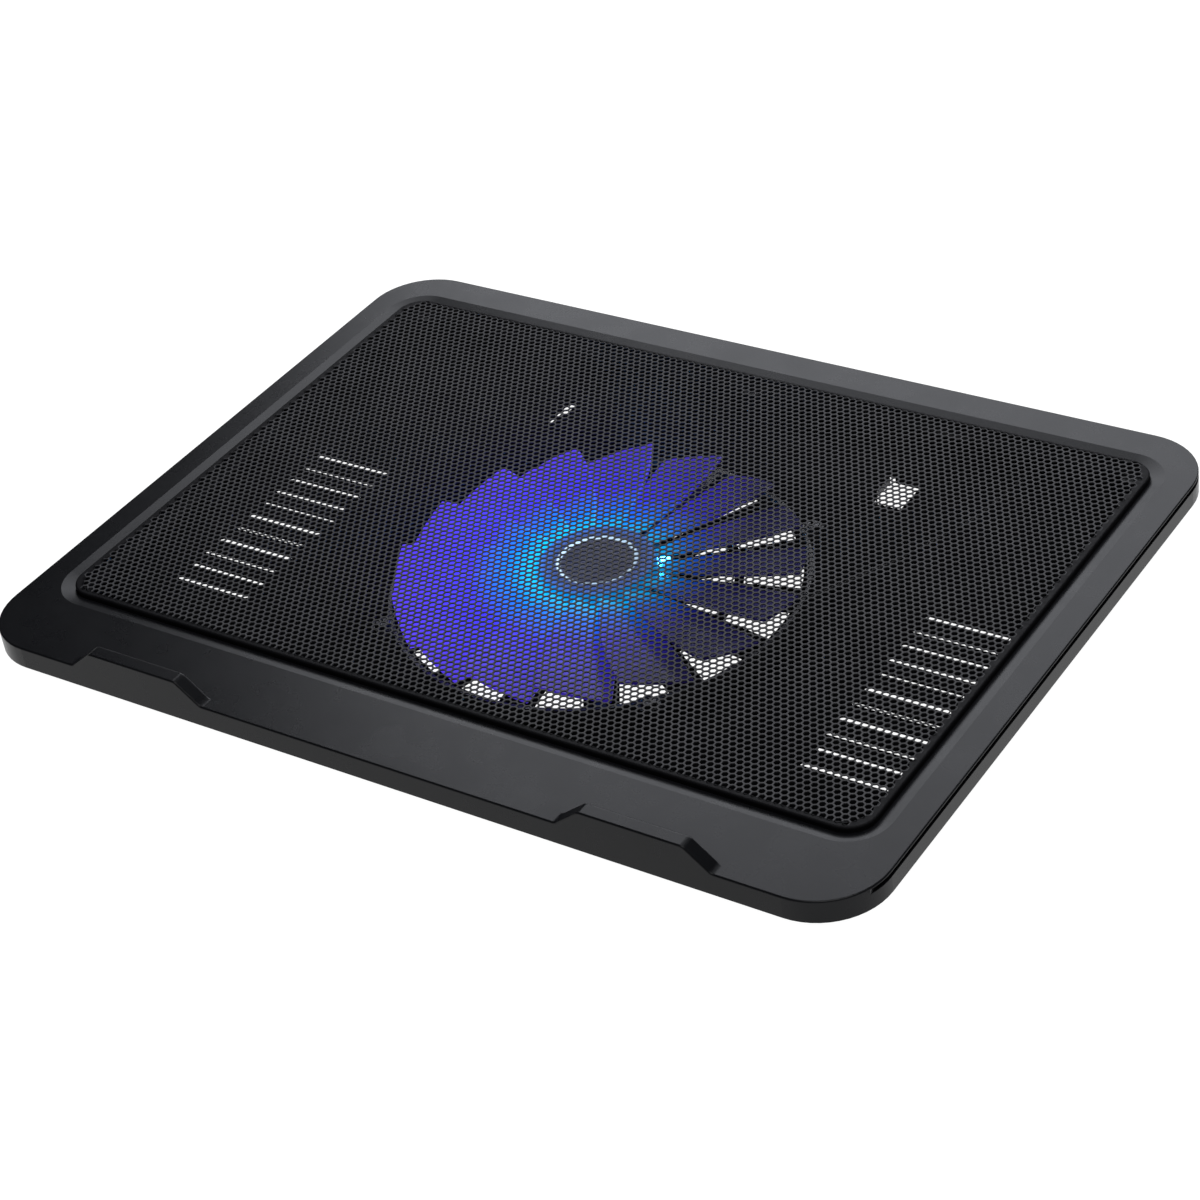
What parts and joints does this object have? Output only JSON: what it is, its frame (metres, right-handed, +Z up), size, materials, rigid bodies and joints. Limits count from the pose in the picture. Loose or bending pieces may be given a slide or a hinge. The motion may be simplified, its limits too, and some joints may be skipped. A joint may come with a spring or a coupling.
{
  "type": "laptop cooling pad",
  "caption": "Flat laptop cooling pad: perforated steel deck over a lit fan, two laptop stops along the front edge and flip-out rear feet.",
  "frame": {"origin": "on the table, under the middle of the pad's outline", "axes": "+Z up, +X to the right along the long side, -Y towards the user; the laptop stops are at -Y"},
  "size_m": [0.35, 0.265, 0.03],
  "materials": {
    "satin_shell": "satin charcoal ABS with a fine moulded grain",
    "tray_plastic": "black ABS with a coarse moulded grain",
    "black_mesh": "black powder-coated perforated steel",
    "fan_black": "black moulded plastic",
    "fan_clear": "translucent smoke-blue plastic, lit from the hub",
    "bare_steel": "turned or punched steel",
    "ferrite": "dark bonded ferrite",
    "bronze": "oil-filled sintered bronze",
    "copper_wire": "enamelled copper wire",
    "circuit_board": "green solder mask",
    "led_lens": "clear LED lens glowing blue",
    "black_screw": "black zinc screws",
    "soft_rubber": "matte black rubber",
    "foot_plastic": "black ABS",
    "lead_jacket": "black PVC wire jacket"
  },
  "bodies": {
    "base": {"top_frame": "satin_shell", "bottom_shell": "tray_plastic", "mesh_panel": "black_mesh", "fan_frame": "fan_black", "sleeve_bearing": "bronze", "stator_core": "bare_steel", "coil_windings": "copper_wire", "fan_pcb": "circuit_board", "leds": "led_lens", "fan_screws": "black_screw", "case_screws": "black_screw", "front_pads": "soft_rubber", "rear_pads": "soft_rubber", "left_foot_pin": "bare_steel", "right_foot_pin": "bare_steel", "cable_grommet": "soft_rubber", "fan_lead": "lead_jacket"},
    "rotor": {"fan_rotor": "fan_clear", "rotor_yoke": "bare_steel", "rotor_magnet": "ferrite", "motor_shaft": "bare_steel", "shaft_clip": "bare_steel"},
    "left_stand": {"left_foot": "foot_plastic", "left_foot_tip": "soft_rubber"},
    "right_stand": {"right_foot": "foot_plastic", "right_foot_tip": "soft_rubber"}
  },
  "joints": [
    {"name": "fan_spin", "type": "hinge", "parent": "base", "child": "rotor", "pos_m": [0, 0, 0.012], "axis": [0, 0, 1], "continuous": true},
    {"name": "left_foot_flip", "type": "hinge", "parent": "base", "child": "left_stand", "pos_m": [-0.044, 0.0776, 0.0062], "axis": [-1, 0, 0], "range_deg": [0, 95]},
    {"name": "right_foot_flip", "type": "hinge", "parent": "base", "child": "right_stand", "pos_m": [0.044, 0.0776, 0.0062], "axis": [-1, 0, 0], "range_deg": [0, 95]}
  ]
}
